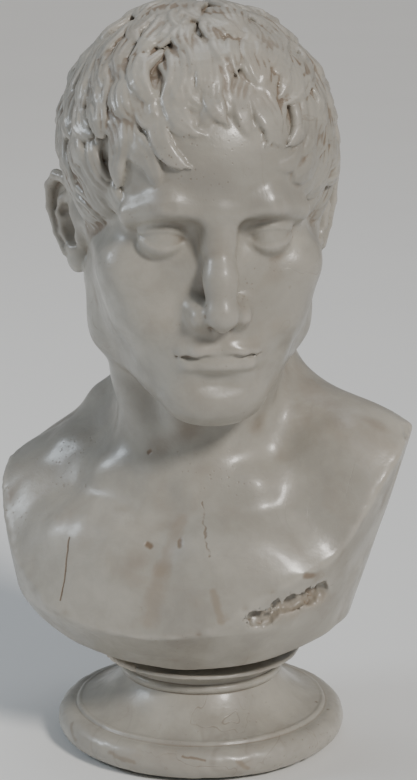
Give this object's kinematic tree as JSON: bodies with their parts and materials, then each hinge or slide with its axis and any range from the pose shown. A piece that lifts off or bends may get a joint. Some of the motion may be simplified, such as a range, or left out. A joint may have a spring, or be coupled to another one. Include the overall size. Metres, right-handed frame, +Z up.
{
  "type": "marble bust",
  "caption": "Life-size carved marble bust of a short-haired figure, head turned, hollowed back, on a turned round socle.",
  "frame": {"origin": "centre of the flat face that the object stands on, on the socle's axis", "axes": "+Z up through the socle and the neck; the chest faces -Y; +X is the figure's left"},
  "size_m": [0.269, 0.2033, 0.4805],
  "materials": {
    "marble": "old polish, stained in the hollows",
    "socle_marble": "old polish",
    "fill_plaster": "matt, toned",
    "bed_plaster": "matt",
    "zinc_steel": "bright zinc",
    "resin": "smooth",
    "fibre": "matt",
    "felt": "napped"
  },
  "bodies": {
    "root": {"bust": "marble", "socle": "socle_marble", "collar_fill": "fill_plaster", "plaster_bed": "bed_plaster", "threaded_rod": "zinc_steel", "rod_resin": "resin", "fibre_washer": "fibre", "steel_washer": "zinc_steel", "hex_nut": "zinc_steel", "base_felt": "felt"}
  },
  "joints": []
}
